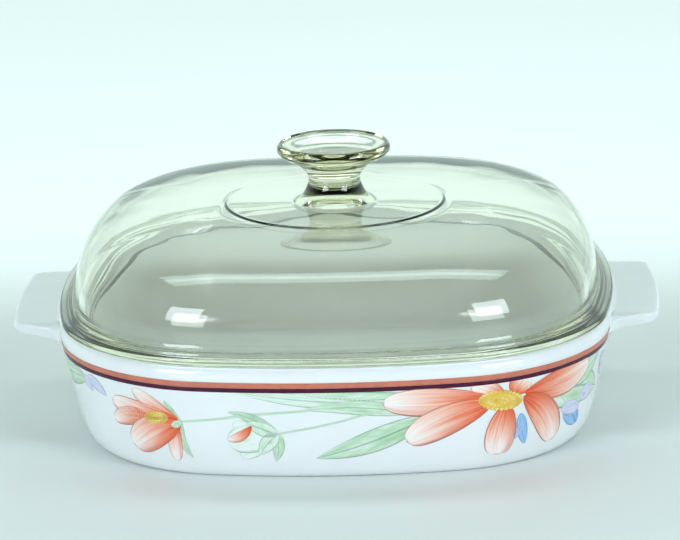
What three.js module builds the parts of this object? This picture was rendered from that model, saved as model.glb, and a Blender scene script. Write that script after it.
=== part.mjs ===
// Covered casserole dish: a square glass-ceramic baking dish with a lug handle on each side, banded with
// two fired enamel stripes, and a high domed glass lid with a fused glass knob.
// Millimetres, +Z up. The origin is the centre of the foot, +X runs through the handles, +Y is the back.
import * as THREE from "three";

// Plan outline, shared by the dish and the lid: four slack side arcs joined by four tighter corner arcs.
const HALF_WIDTH = 127;
const SIDE_RADIUS = 330;
const CORNER_RADIUS = 80.5;

// Dish heights and insets. An inset is measured inwards, square to the plan outline.
const RIM_TOP = 53.5;
const RIM_SHOULDER = 3; // radius that rounds the rim's outer edge
const SHOULDER_LEAN = 0.4; // how far the corner of that rounding leans in from the widest level
const RIM_LAND_INNER = 5.6; // inset of the inner edge of the land that the lid rests on
const MOUTH_ROUNDING = 1.3;
const BELLY_TOP = { inset: -0.8, z: 48.5 }; // widest level, just under the rim
const SHOULDER_START = 49.8; // height where the wall begins to round over into the rim
const BELLY_FOOT = { inset: 5.8, z: 17 }; // where the straight wall meets the curve into the foot
const FOOT_OUTER = 15;
const FOOT_WIDTH = 6;
const FOOT_RECESS = 0.8;
const RECESS_SLOPE = 2; // width of the slope from the foot ring up to the recessed bottom
const FLOOR_TOP = 6.5;
const FLOOR_ROUNDING = 11;
const FLOOR_CORNER_LEAN = 1.2; // how far the corner of that rounding leans in from the inner wall
const INNER_WALL_FOOT = { inset: 12.2, z: FLOOR_TOP + FLOOR_ROUNDING };
const WALL_MIDDLE = 26; // one more level on the straight wall

// Lug handles, moulded in one with the dish.
const LUG_REACH = 20.3;
const LUG_FLAT_HALF = 36.5; // half the stretch along the side that has the full reach
const LUG_ROOT_HALF = 51.5; // where the reach has faded out
const LUG_TOP = 51.2;
const LUG_THICKNESS = 5;
const LUG_ROOT_DROP = 7; // how far the hollow under the lug runs down the wall

// Enamel stripes: thin fired skins on the wall, in front and behind, ending at the lugs.
const STRIPE_TOP = 47.2;
const CORAL_HEIGHT = 2.6;
const BURGUNDY_HEIGHT = 1.5;
const ENAMEL_THICKNESS = 0.3;
const ENAMEL_GAP = 0.1; // clearance to the wall and between the two stripes

// Glass lid. Its flange rests on the rim's land and its locating ring drops into the dish's mouth.
const LID_REST = RIM_TOP + 0.2;
const FLANGE_EDGE_HEIGHT = 3;
const FLANGE_ROUNDING = 1.2;
const FLANGE_STEP = { inset: 3.6, rise: 1.9, slope: 0.5, width: 1.4 };
const FLANGE_DRAFT = 0.2; // how much each level of the flange rises inwards
const DOME_FILLET = { inset: 6.3, rise: 1.8 }; // where the fillet from the step meets the dome's wall
const LOCATING_RING = { outer: 8.4, inner: 12.6, depth: 4.6, draft: 0.6, chamfer: 1 };
const DOME_HALF_WIDTH = 120;
const DOME_BASE = 54.9;
const DOME_RISE = 39.9;
// Powers of the dome's profile, |width| ** p + |height| ** q = 1. The first flattens the top, and the second
// makes the wall lean inwards from its foot.
const DOME_WIDTH_POWER = 5.9;
const DOME_DEPTH_POWER = 1.6; // added to it in front and behind, where the shoulder is fuller
const DOME_HEIGHT_POWER = 3;
const DOME_SQUARENESS = 0.45; // the lower, the nearer to the top the plan stays square
const CROWN_BLEND = 1.4; // the inner surface closes in on the middle where the width falls below 1 / this
// Where the rings up the dome lie, in radians of the profile.
const OUTER_RISES = [0.11, 0.17, 0.26, 0.38, 0.54, 0.72, 0.92, 1.12, 1.3, 1.44];
const INNER_RISES = [1.44, 1.25, 1.02, 0.8, 0.58, 0.4, 0.25, 0.12, 0.03];
const GLASS_THICKNESS = 4.6;
const PAD_RADIUS = 51; // the round raised pad in the middle of the dome
const PAD_RISE = 0.7;
const PAD_EDGE = 1.6; // width of the slope round the pad

// Glass knob: a flared cup on a waisted neck, fused to the pad. Its outline, as [radius, height], is a
// smooth curve through the fillet at its foot, the neck, the underside of the cup, the rim and the hollow.
const KNOB_JOIN_GAP = 0.3;
const KNOB_OUTLINE = [
  [18.4, 0],
  [15.2, 2.2],
  [12.7, 6.6],
  [11.9, 10.2],
  [12.9, 13],
  [17, 17.1],
  [22.4, 20.2],
  [25.5, 22.6],
  [25.9, 24.9],
  [24.2, 26.9],
  [21.6, 25.4],
  [16.5, 22.2],
  [9, 20.2],
  [0, 19.6],
];
const KNOB_OUTLINE_STEPS = 26;
const KNOB_SIDES = 40;

const SIDE_CENTRE = SIDE_RADIUS - HALF_WIDTH;
const RADIUS_STEP = SIDE_RADIUS - CORNER_RADIUS;
const CORNER_CENTRE = (Math.sqrt(2 * RADIUS_STEP ** 2 - SIDE_CENTRE ** 2) - SIDE_CENTRE) / 2;
const JOIN_ANGLE = Math.atan2(CORNER_CENTRE, CORNER_CENTRE + SIDE_CENTRE);
const QUARTER = Math.PI / 2;
const SIDE_STEPS = 5;
const CORNER_STEPS = 5;
const LUG_FLAT_STEPS = 3;
const LUG_ROOT_STEPS = 7;
const ROUNDING_STEPS = { foot: 5, shoulder: 4, mouth: 2, floor: 5 };
const ANGLE_SLACK = 1e-6;

const { lerp, clamp } = THREE.MathUtils;

// A point of the plan outline, moved inwards by the inset, where the outward normal has this angle.
function planPoint(angle, inset) {
  const nearestAxis = Math.round(angle / QUARTER) * QUARTER;
  const turn = angle - nearestAxis;
  const onSide = Math.abs(turn) <= JOIN_ANGLE + ANGLE_SLACK;
  const radius = (onSide ? SIDE_RADIUS : CORNER_RADIUS) - inset;
  const centreX = onSide ? -SIDE_CENTRE : CORNER_CENTRE;
  const centreY = onSide ? 0 : Math.sign(turn) * CORNER_CENTRE;
  const x = centreX + radius * Math.cos(turn);
  const y = centreY + radius * Math.sin(turn);
  const cos = Math.cos(nearestAxis);
  const sin = Math.sin(nearestAxis);
  return new THREE.Vector2(x * cos - y * sin, x * sin + y * cos);
}

function normalAt(angle) {
  return new THREE.Vector2(Math.cos(angle), Math.sin(angle));
}

function steps(from, to, count) {
  return Array.from({ length: count }, (_, i) => lerp(from, to, i / count));
}

// Fades smoothly from 1 to 0 as the value goes from start to end.
function fade(value, start, end) {
  const t = clamp((value - start) / (end - start), 0, 1);
  return 1 - clamp(t * t * t * (t * (t * 6 - 15) + 10), 0, 1);
}

// Normal angles once round the outline, from the middle of the +X side. With lugs, the two X sides get
// closer stations where the lug's edge runs out from the wall.
function columnAngles(withLugs) {
  const plainHalf = steps(0, JOIN_ANGLE, SIDE_STEPS);
  const lugHalf = [
    ...steps(0, LUG_FLAT_HALF / SIDE_RADIUS, LUG_FLAT_STEPS),
    ...steps(LUG_FLAT_HALF / SIDE_RADIUS, LUG_ROOT_HALF / SIDE_RADIUS, LUG_ROOT_STEPS),
    LUG_ROOT_HALF / SIDE_RADIUS,
  ];
  const corner = steps(JOIN_ANGLE, QUARTER - JOIN_ANGLE, 2 * CORNER_STEPS);
  const angles = [];
  for (let side = 0; side < 4; side += 1) {
    const half = withLugs && side % 2 === 0 ? lugHalf : plainHalf;
    const nextHalf = withLugs && side % 2 === 1 ? lugHalf : plainHalf;
    const beforeNextSide = nextHalf.slice(1).reverse().map((a) => -a);
    angles.push(...half.map((a) => a + side * QUARTER));
    angles.push(...corner.map((a) => a + side * QUARTER));
    angles.push(-JOIN_ANGLE + (side + 1) * QUARTER);
    angles.push(...beforeNextSide.map((a) => a + (side + 1) * QUARTER));
  }
  return angles;
}

// How far the lug stands out of the wall at this normal angle: zero away from the two X sides.
function lugReach(angle) {
  const turn = angle - Math.round(angle / Math.PI) * Math.PI;
  if (Math.abs(turn) > JOIN_ANGLE) return 0;
  return LUG_REACH * fade(Math.abs(turn) * SIDE_RADIUS, LUG_FLAT_HALF, LUG_ROOT_HALF);
}

// One closed mesh from rings of points that run from one pole to the other, wound to face outwards when
// the rings go up the outside and each ring runs anticlockwise seen from above.
function closedByPoles(bottom, rings, top) {
  const count = rings[0].length;
  const points = [bottom, ...rings.flat(), top];
  const last = points.length - 1;
  const index = [];
  const at = (ring, column) => 1 + ring * count + (column % count);
  for (let c = 0; c < count; c += 1) {
    index.push(0, at(0, c + 1), at(0, c));
    index.push(last, at(rings.length - 1, c), at(rings.length - 1, c + 1));
    for (let r = 0; r < rings.length - 1; r += 1) {
      index.push(at(r, c), at(r, c + 1), at(r + 1, c + 1));
      index.push(at(r, c), at(r + 1, c + 1), at(r + 1, c));
    }
  }
  return geometryFrom(points, index);
}

// One closed mesh swept through a list of closed sections, with a flat cap at each end.
function closedByCaps(sections) {
  const count = sections[0].length;
  const points = sections.flat();
  const index = [];
  const at = (section, corner) => section * count + (corner % count);
  for (let s = 0; s < sections.length - 1; s += 1) {
    for (let k = 0; k < count; k += 1) {
      index.push(at(s, k), at(s + 1, k), at(s + 1, k + 1));
      index.push(at(s, k), at(s + 1, k + 1), at(s, k + 1));
    }
  }
  const end = sections.length - 1;
  for (let k = 1; k < count - 1; k += 1) {
    index.push(at(0, 0), at(0, k), at(0, k + 1));
    index.push(at(end, 0), at(end, k + 1), at(end, k));
  }
  return geometryFrom(points, index);
}

function geometryFrom(points, index) {
  const geometry = new THREE.BufferGeometry().setFromPoints(points);
  geometry.setIndex(index);
  geometry.computeVertexNormals();
  return geometry;
}

// The outer wall's inset at a height between the foot's curve and the rim.
function wallInset(z) {
  const t = (z - BELLY_FOOT.z) / (BELLY_TOP.z - BELLY_FOOT.z);
  return lerp(BELLY_FOOT.inset, BELLY_TOP.inset, Math.min(t, 1));
}

// Points of a quarter round from start to end, which bulges towards the corner point.
function rounded(start, corner, end, count) {
  return steps(0, 1, count).slice(1).map((t) => {
    const a = lerp(start[0], corner[0], t);
    const b = lerp(start[1], corner[1], t);
    return [lerp(a, lerp(corner[0], end[0], t), t), lerp(b, lerp(corner[1], end[1], t), t)];
  });
}

// The lug's section, as [share of the reach, height]: the hollow under it, its edge and its top.
const LUG_UNDERSIDE = LUG_TOP - LUG_THICKNESS;
const LUG_SECTION = [
  [0, LUG_UNDERSIDE - LUG_ROOT_DROP],
  [0.1, LUG_UNDERSIDE - 0.5 * LUG_ROOT_DROP],
  [0.24, LUG_UNDERSIDE - 0.2 * LUG_ROOT_DROP],
  [0.45, LUG_UNDERSIDE - 0.05 * LUG_ROOT_DROP],
  [0.9, LUG_UNDERSIDE + 0.1],
  [0.97, LUG_UNDERSIDE + 0.17 * LUG_THICKNESS],
  [1, LUG_UNDERSIDE + 0.5 * LUG_THICKNESS],
  [0.97, LUG_TOP - 0.17 * LUG_THICKNESS],
  [0.9, LUG_TOP - 0.1],
  [0.45, LUG_TOP],
  [0, LUG_TOP + 0.2],
];

// Where the rim's rounding begins: above the lug where there is one.
function shoulderStart(reach) {
  return lerp(SHOULDER_START, LUG_TOP + 0.3, Math.sqrt(reach / LUG_REACH));
}

// The same points at one column. Where the lug fades out they spread evenly over the plain wall.
function lugPoints(reach) {
  const low = LUG_SECTION[0][1];
  const high = shoulderStart(reach) - 0.1;
  return LUG_SECTION.map(([out, height], k) => {
    const even = lerp(low, high, k / (LUG_SECTION.length - 1));
    const z = lerp(even, height, Math.sqrt(reach / LUG_REACH));
    return [wallInset(z) - out * reach, z];
  });
}

// The dish's section at one column, as [inset, height] pairs from under the foot, up the outside, over
// the rim and down the inside to the floor. A negative inset stands out of the plan outline.
function dishSection(angle) {
  const reach = lugReach(angle);
  const footInner = FOOT_OUTER + FOOT_WIDTH;
  const foot = [FOOT_OUTER, 0];
  const belly = [BELLY_FOOT.inset, BELLY_FOOT.z];
  const shoulder = [BELLY_TOP.inset, shoulderStart(reach)];
  const landOuter = [RIM_SHOULDER, RIM_TOP];
  const landInner = [RIM_LAND_INNER, RIM_TOP];
  const mouth = [RIM_LAND_INNER + MOUTH_ROUNDING, RIM_TOP - MOUTH_ROUNDING];
  const innerWall = [INNER_WALL_FOOT.inset, INNER_WALL_FOOT.z];
  const floorEdge = [INNER_WALL_FOOT.inset + FLOOR_ROUNDING, FLOOR_TOP];
  return [
    [footInner + RECESS_SLOPE, FOOT_RECESS],
    [footInner, 0],
    foot,
    ...rounded(foot, [wallInset(0), 0], belly, ROUNDING_STEPS.foot),
    belly,
    [wallInset(WALL_MIDDLE), WALL_MIDDLE],
    ...lugPoints(reach),
    shoulder,
    ...rounded(shoulder, [BELLY_TOP.inset + SHOULDER_LEAN, RIM_TOP], landOuter, ROUNDING_STEPS.shoulder),
    landOuter,
    landInner,
    ...rounded(landInner, [mouth[0], RIM_TOP], mouth, ROUNDING_STEPS.mouth),
    mouth,
    [lerp(mouth[0], innerWall[0], 0.5), lerp(mouth[1], innerWall[1], 0.5)],
    innerWall,
    ...rounded(innerWall, [innerWall[0] + FLOOR_CORNER_LEAN, FLOOR_TOP], floorEdge, ROUNDING_STEPS.floor),
    floorEdge,
  ];
}

function makeDish() {
  const angles = columnAngles(true);
  const sections = angles.map(dishSection);
  const rings = sections[0].map((_, k) =>
    angles.map((angle, column) => {
      const [inset, z] = sections[column][k];
      const p = planPoint(angle, inset);
      return new THREE.Vector3(p.x, p.y, z);
    }),
  );
  return closedByPoles(new THREE.Vector3(0, 0, FOOT_RECESS), rings, new THREE.Vector3(0, 0, FLOOR_TOP));
}

// A stripe along the wall from one lug's root to the other's, in front (side 3) or behind (side 1).
function makeStripe(top, height, side) {
  const start = (side - 1) * QUARTER + LUG_ROOT_HALF / SIDE_RADIUS;
  const end = (side + 1) * QUARTER - LUG_ROOT_HALF / SIDE_RADIUS;
  const turns = columnAngles(true).concat(columnAngles(true).map((a) => a + 2 * Math.PI));
  const angles = turns.filter((a) => a > start - ANGLE_SLACK && a < end + ANGLE_SLACK);
  const bottom = top - height;
  const sections = angles.map((angle) => {
    const corners = [
      [ENAMEL_GAP, bottom],
      [ENAMEL_GAP + ENAMEL_THICKNESS, bottom],
      [ENAMEL_GAP + ENAMEL_THICKNESS, top],
      [ENAMEL_GAP, top],
    ];
    return corners.map(([out, z]) => {
      const p = planPoint(angle, wallInset(z) - out);
      return new THREE.Vector3(p.x, p.y, z);
    });
  });
  return closedByCaps(sections);
}

// The dome's surface, moved inwards by the thickness: plan sections go from the shared outline at the
// foot to a circle at the pad.
function domePoint(angle, rise, thickness) {
  const widthPower = DOME_WIDTH_POWER + DOME_DEPTH_POWER * Math.sin(angle) ** 2;
  const outward = Math.cos(rise) ** (2 / widthPower);
  const upward = Math.sin(rise) ** (2 / DOME_HEIGHT_POWER);
  const halfWidth = outward * DOME_HALF_WIDTH - thickness * Math.min(1, outward * CROWN_BLEND);
  const wayOut = Math.max(0, (halfWidth - PAD_RADIUS) / (DOME_HALF_WIDTH - PAD_RADIUS));
  const squareness = wayOut ** DOME_SQUARENESS;
  const square = planPoint(angle, 0).multiplyScalar(squareness);
  const round = normalAt(angle).multiplyScalar(halfWidth - squareness * HALF_WIDTH);
  const z = DOME_BASE + upward * (DOME_RISE - thickness);
  return new THREE.Vector3(square.x + round.x, square.y + round.y, z);
}

function makeLid() {
  const angles = columnAngles(false);
  const edgeTop = LID_REST + FLANGE_EDGE_HEIGHT;
  const stepTop = edgeTop + FLANGE_STEP.rise;
  const ringFoot = LID_REST - LOCATING_RING.depth;
  const underFlange = [
    [LOCATING_RING.inner + LOCATING_RING.draft, ringFoot],
    [LOCATING_RING.outer + LOCATING_RING.draft, ringFoot],
    [LOCATING_RING.outer, ringFoot + LOCATING_RING.chamfer],
    [LOCATING_RING.outer, LID_REST],
    [FLANGE_ROUNDING, LID_REST],
    [0, LID_REST + FLANGE_ROUNDING],
    [0, edgeTop - FLANGE_ROUNDING],
    [FLANGE_ROUNDING, edgeTop],
    [FLANGE_STEP.inset, edgeTop + FLANGE_DRAFT],
    [FLANGE_STEP.inset + FLANGE_STEP.slope, stepTop],
    [FLANGE_STEP.inset + FLANGE_STEP.width, stepTop + FLANGE_DRAFT],
    [DOME_FILLET.inset, stepTop + DOME_FILLET.rise],
  ];
  const flangeRings = underFlange.map(([inset, z]) =>
    angles.map((angle) => {
      const p = planPoint(angle, inset);
      return new THREE.Vector3(p.x, p.y, z);
    }),
  );
  const domeRing = (rise, thickness) => angles.map((angle) => domePoint(angle, rise, thickness));
  const padRing = (radius, z) =>
    angles.map((angle) => {
      const n = normalAt(angle).multiplyScalar(radius);
      return new THREE.Vector3(n.x, n.y, z);
    });
  const padFoot = domeHeightAt(PAD_RADIUS);
  const rings = [
    ...INNER_RISES.map((rise) => domeRing(rise, GLASS_THICKNESS)),
    ...flangeRings,
    ...OUTER_RISES.map((rise) => domeRing(rise, 0)),
    padRing(PAD_RADIUS, padFoot),
    padRing(PAD_RADIUS - PAD_EDGE, padFoot + PAD_RISE),
  ];
  const insideTop = new THREE.Vector3(0, 0, DOME_BASE + DOME_RISE - GLASS_THICKNESS);
  const outsideTop = new THREE.Vector3(0, 0, padTop());
  return closedByPoles(insideTop, rings, outsideTop);
}

function domeHeightAt(halfWidth) {
  const share = (halfWidth / DOME_HALF_WIDTH) ** DOME_WIDTH_POWER;
  return DOME_BASE + DOME_RISE * (1 - share) ** (1 / DOME_HEIGHT_POWER);
}

function padTop() {
  return domeHeightAt(PAD_RADIUS) + PAD_RISE;
}

function makeKnob() {
  const corners = KNOB_OUTLINE.map(([radius, height]) => new THREE.Vector2(radius, height));
  const outline = new THREE.SplineCurve(corners);
  const points = outline.getPoints(KNOB_OUTLINE_STEPS);
  points[points.length - 1].x = 0;
  const knob = new THREE.LatheGeometry([new THREE.Vector2(0, 0), ...points], KNOB_SIDES);
  knob.rotateX(QUARTER);
  return knob;
}

function piece(name, geometry, material) {
  const mesh = new THREE.Mesh(geometry, material);
  mesh.name = name;
  return mesh;
}

const ceramic = new THREE.MeshStandardMaterial({ color: 0xeef3f4, roughness: 0.12, metalness: 0 });
const coral = new THREE.MeshStandardMaterial({ color: 0xcf7d66, roughness: 0.2, metalness: 0 });
const burgundy = new THREE.MeshStandardMaterial({ color: 0x4b1a3e, roughness: 0.2, metalness: 0 });
const glass = new THREE.MeshStandardMaterial({
  color: 0xdfe8d2,
  roughness: 0.03,
  metalness: 0,
  transparent: true,
  opacity: 0.35,
});

const casserole = new THREE.Group();
casserole.add(piece("dish", makeDish(), ceramic));

const burgundyTop = STRIPE_TOP - CORAL_HEIGHT - ENAMEL_GAP;
for (const [place, side] of [["back", 1], ["front", 3]]) {
  casserole.add(piece(`coral_stripe_${place}`, makeStripe(STRIPE_TOP, CORAL_HEIGHT, side), coral));
  casserole.add(piece(`burgundy_stripe_${place}`, makeStripe(burgundyTop, BURGUNDY_HEIGHT, side), burgundy));
}

const lidGroup = new THREE.Group();
lidGroup.add(piece("lid", makeLid(), glass));
const knob = piece("lid_knob", makeKnob(), glass);
knob.position.z = padTop() + KNOB_JOIN_GAP;
lidGroup.add(knob);
casserole.add(lidGroup);

export default casserole;
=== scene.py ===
"""Covered casserole dish: the looks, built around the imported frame.

Metres, +Z up, +X through the two lug handles, +Y behind. Design sizes are in millimetres of the frame:
MM turns them into metres, and heights and widths that the frame knows are read from its boxes.
"""
import math

import bpy
import numpy as np
from mathutils import Matrix, Vector


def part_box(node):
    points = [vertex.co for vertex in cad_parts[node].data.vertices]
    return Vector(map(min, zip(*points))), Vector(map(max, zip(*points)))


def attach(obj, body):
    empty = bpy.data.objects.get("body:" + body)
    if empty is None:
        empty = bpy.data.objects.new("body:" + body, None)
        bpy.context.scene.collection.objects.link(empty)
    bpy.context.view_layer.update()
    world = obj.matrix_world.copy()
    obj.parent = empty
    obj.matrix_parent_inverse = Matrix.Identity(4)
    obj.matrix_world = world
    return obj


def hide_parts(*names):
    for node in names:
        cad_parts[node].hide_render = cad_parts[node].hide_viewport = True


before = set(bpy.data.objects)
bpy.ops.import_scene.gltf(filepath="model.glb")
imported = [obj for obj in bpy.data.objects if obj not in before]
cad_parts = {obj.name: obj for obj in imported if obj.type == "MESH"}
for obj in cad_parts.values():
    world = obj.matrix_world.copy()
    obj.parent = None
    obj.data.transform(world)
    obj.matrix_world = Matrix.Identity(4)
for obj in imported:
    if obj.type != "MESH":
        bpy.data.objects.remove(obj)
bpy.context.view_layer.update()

# ---------------------------------------------------------------- sizes, in millimetres of the design
dish_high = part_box("dish")[1]
lid_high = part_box("lid")[1]
knob_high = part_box("lid_knob")[1]
coral_low, coral_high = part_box("coral_stripe_front")
burgundy_low, burgundy_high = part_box("burgundy_stripe_front")

HALF_WIDTH = 127.0
MM = lid_high.x / HALF_WIDTH
SIDE_RADIUS = 330.0
CORNER_RADIUS = 80.5

RIM_TOP = dish_high.z / MM
RIM_LAND_OUTER = 3.0
RIM_LAND_INNER = 5.6
RIM_LAND_MIDDLE = 4.0
RIM_FULLNESS = 0.4  # how far inside the belly's line the shoulder's round aims
MOUTH_ROUNDING = 1.3
BELLY_TOP_INSET = -0.8
BELLY_TOP = 48.5
SHOULDER_START = 49.8
BELLY_FOOT_INSET = 5.8
BELLY_FOOT = 17.0
FOOT_OUTER = 15.0
FOOT_WIDTH = 6.0
FOOT_SLOPE = 2.0  # how wide the slope is from the foot ring into the recessed bottom
FOOT_ROUNDING = 0.6
FOLD_INSET = 55.0  # past this inset a ring is a shrunken copy, so that its corners don't fold over
FOOT_RECESS = 0.8
UNDERSIDE_INSETS = (100, 60)  # rings that divide the recessed bottom
FLOOR_TOP = 6.5
FLOOR_ROUNDING = 11.0
INNER_FOOT_INSET = 12.2
FLOOR_CORNER_LEAN = 1.2  # how far past the wall's foot the floor's round aims
INNERMOST_INSET = 100
FLOOR_SAG = 0.2  # how much lower the floor's middle lies than its edge

LUG_REACH = dish_high.x / MM - HALF_WIDTH + BELLY_TOP_INSET
LUG_FLAT_HALF = 36.5
LUG_ROOT_HALF = 51.5
LUG_TOP = 51.2
LUG_THICKNESS = 5.0
LUG_ROOT_DROP = 7.0
LUG_SHOULDER_GAP = 0.3  # the rim's rounding begins this far above the lug
LUG_END_GAP = 0.1  # and the lug's section ends this far under it

FILM = 0.12  # how far fired enamel stands off the wall
LAYER = 0.03  # how much higher each further layer of enamel lies
LOWEST_FILM = 0.3  # no enamel lies lower than this
STRIPE_LAYER = 2
BURGUNDY_DROP = 0.5  # the burgundy stripe is drawn this much wider, downwards, than its CAD node

LID_REST = RIM_TOP + 0.2
FLANGE_EDGE = 3.0
STEP_RISE = 1.9
RING_OUTER = 8.4
RING_INNER = 12.6
RING_DEPTH = 4.6
RING_LEAN = 0.4  # how far inwards the ring's inner side leans towards its foot
RING_INNER_BEVEL = 1.4
RING_OUTER_BEVEL = (0.6, 1.0)
FLANGE_SLOPE = 0.2  # how much the flange's two treads rise inwards
FLANGE_TREAD_INSET = 3.6
STEP_TOP_INSET = 4.1
FILLET_INSET = 5.0
FILLET_CORNER = (7.1, 0.3)  # inset, and height over the step
FLANGE_ROUNDING = 1.1
DOME_WALL_INSET = 7.2
DOME_HALF_WIDTH = 120.0
DOME_BASE = 54.9
DOME_RISE = 39.9
DOME_WIDTH_POWER = 5.9
DOME_DEPTH_POWER = 1.6
DOME_HEIGHT_POWER = 3.0
DOME_SQUARENESS = 0.45
GLASS_THICKNESS = 4.6
CROWN_BLEND = 1.4  # how soon the wall's thickness stops narrowing the dome's inside towards its crown
DOME_FOOT = 64.0  # where the fillet from the flange runs into the wall
DOME_END = 1.49  # radians from the dome's base to its pad, nearly the same all round
DOME_FOOT_RISE = (DOME_FOOT - DOME_BASE) / DOME_RISE
DOME_FOOT_SHARE = math.asin(DOME_FOOT_RISE ** (DOME_HEIGHT_POWER / 2)) / DOME_END
INSIDE_FOOT_SHARE = 0.012  # where the dome's inside ends, as a share of the way up to the pad
RECESS_DEPTH = 5.0  # a shallow hollow in the dome's ceiling, under the knob
RECESS_REACH = (1.0, 21.0)
RECESS_FIRST_RADIUS = 2.0
PAD_RADIUS = 51.0
PAD_EDGE = 1.6
PAD_EDGE_START = 0.15  # share of the pad's edge where its first ring lies
PAD_MARGIN = 1.0  # between the flat pad's rings and its edge, and between them and the knob
PAD_TOP = lid_high.z / MM
KNOB_HEIGHT = knob_high.z / MM - PAD_TOP
KNOB_OUTLINE = [  # radius and height from the knob's foot, over its flared edge, to its hollow middle
    (18.4, 0),
    (15.2, 2.2),
    (12.7, 6.6),
    (11.9, 10.2),
    (12.9, 13),
    (17, 17.1),
    (22.4, 20.2),
    (25.5, 22.6),
    (25.9, 24.9),
    (24.2, 26.9),
    (21.6, 25.4),
    (16.5, 22.2),
    (9, 20.2),
    (0, 19.6),
]

WALL_SLOPE = (BELLY_TOP_INSET - BELLY_FOOT_INSET) / (BELLY_TOP - BELLY_FOOT)
QUARTER = math.pi / 2
SIDE_CENTRE = SIDE_RADIUS - HALF_WIDTH
RADIUS_STEP = SIDE_RADIUS - CORNER_RADIUS
CORNER_CENTRE = (math.sqrt(2 * RADIUS_STEP**2 - SIDE_CENTRE**2) - SIDE_CENTRE) / 2
JOIN_ANGLE = math.atan2(CORNER_CENTRE, CORNER_CENTRE + SIDE_CENTRE)
ANGLE_SLACK = 1e-9
SIDE_ARC = SIDE_RADIUS * JOIN_ANGLE
CORNER_ARC = CORNER_RADIUS * (QUARTER - 2 * JOIN_ANGLE)
QUARTER_ARC = 2 * SIDE_ARC + CORNER_ARC

# ---------------------------------------------------------------- how finely the meshes are divided
DISH_COLUMNS = 480
LID_COLUMNS = 360
FOOT_STEPS = 16
SHOULDER_STEPS = 12
LAND_STEPS = 3
MOUTH_STEPS = 6
LUG_STEPS = 5
OUTER_WALL_RINGS = 12
INNER_WALL_RINGS = 14
FLOOR_RINGS = 10
DOME_INSIDE_RINGS = 60
DOME_OUTSIDE_RINGS = 80
FLANGE_STEPS = 5
FILLET_STEPS = 14
RECESS_RINGS = 12
PAD_EDGE_RINGS = 6
PAD_RINGS = 8
KNOB_STEPS = 9
STRIPE_ROWS = 5
STRIPE_COLUMNS = 240
BLADE_ROWS = 34
BLADE_COLUMNS = 9

# ---------------------------------------------------------------- camera
CAMERA_TARGET = Vector((0, 0, 0.060))
CAMERA_DISTANCE = 1.645
CAMERA_AZIMUTH = math.radians(2.0)
CAMERA_ELEVATION = math.radians(15.8)
CAMERA_ROLL = math.radians(1.6)  # the right side of the picture stands higher
CAMERA_LENS = 188.3
CAMERA_SIGHT = 50
AIM_OFFSET = 0.0014  # how far right of the target, and above it, the camera aims


def add_camera():
    """The camera looks from in front, slightly from the right and from above."""
    azimuth, elevation = CAMERA_AZIMUTH, CAMERA_ELEVATION
    forward = Vector((-math.sin(azimuth) * math.cos(elevation), math.cos(azimuth) * math.cos(elevation),
                      -math.sin(elevation)))
    level_right = Vector((math.cos(azimuth), math.sin(azimuth), 0))
    level_up = level_right.cross(forward)
    right = level_right * math.cos(CAMERA_ROLL) - level_up * math.sin(CAMERA_ROLL)
    up = level_right * math.sin(CAMERA_ROLL) + level_up * math.cos(CAMERA_ROLL)
    camera = bpy.data.objects.new("camera", bpy.data.cameras.new("camera"))
    camera.data.lens = CAMERA_LENS
    camera.data.clip_end = CAMERA_SIGHT
    turn = Matrix((right, up, -forward)).transposed().to_4x4()
    place = CAMERA_TARGET - forward * CAMERA_DISTANCE + (right + up) * AIM_OFFSET
    camera.matrix_world = Matrix.Translation(place) @ turn
    bpy.context.scene.collection.objects.link(camera)
    bpy.context.scene.camera = camera


# ---------------------------------------------------------------- shape helpers
def plan_point(angle, inset):
    """Points of the plan outline moved inwards, where the outward normal has these angles."""
    nearest = np.round(angle / QUARTER) * QUARTER
    turn = angle - nearest
    on_side = np.abs(turn) <= JOIN_ANGLE + ANGLE_SLACK
    radius = np.where(on_side, SIDE_RADIUS, CORNER_RADIUS) - inset
    x = np.where(on_side, -SIDE_CENTRE, CORNER_CENTRE) + radius * np.cos(turn)
    y = np.where(on_side, 0, np.sign(turn) * CORNER_CENTRE) + radius * np.sin(turn)
    return x * np.cos(nearest) - y * np.sin(nearest), x * np.sin(nearest) + y * np.cos(nearest)


def angle_along(distance):
    """The normal's angle at a distance along the outline, from the middle of the front to the right."""
    quarter = np.round(distance / QUARTER_ARC)
    rest = distance - quarter * QUARTER_ARC
    reach = np.abs(rest)
    turn = np.where(reach <= SIDE_ARC, reach / SIDE_RADIUS, JOIN_ANGLE + (reach - SIDE_ARC) / CORNER_RADIUS)
    return -QUARTER + quarter * QUARTER + np.sign(rest) * turn


def column_angles(count):
    """Normal angles once round the outline, evenly spread along it."""
    return angle_along(np.arange(count) * (4 * QUARTER_ARC / count)) + QUARTER


def wall_inset(z):
    """The outer wall's inset at each height: a curve out of the foot, then a straight slope."""
    straight = BELLY_FOOT_INSET + WALL_SLOPE * (np.minimum(z, BELLY_TOP) - BELLY_FOOT)
    t = np.sqrt(np.clip(z, 0, BELLY_FOOT) / BELLY_FOOT)
    corner = BELLY_FOOT_INSET - WALL_SLOPE * BELLY_FOOT
    curve = (1 - t) ** 2 * FOOT_OUTER + 2 * t * (1 - t) * corner + t**2 * BELLY_FOOT_INSET
    return np.where(z >= BELLY_FOOT, straight, curve)


def bend(start, corner, end, count):
    """A quarter round from start to end that bulges towards the corner, end left out."""
    t = (np.arange(count) / count)[:, None]
    start, corner, end = (np.array(point, float) for point in (start, corner, end))
    return (1 - t) ** 2 * start + 2 * t * (1 - t) * corner + t**2 * end


MOST_OF_HALF = 0.45  # two rounds on one edge take up less than the whole edge


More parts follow.
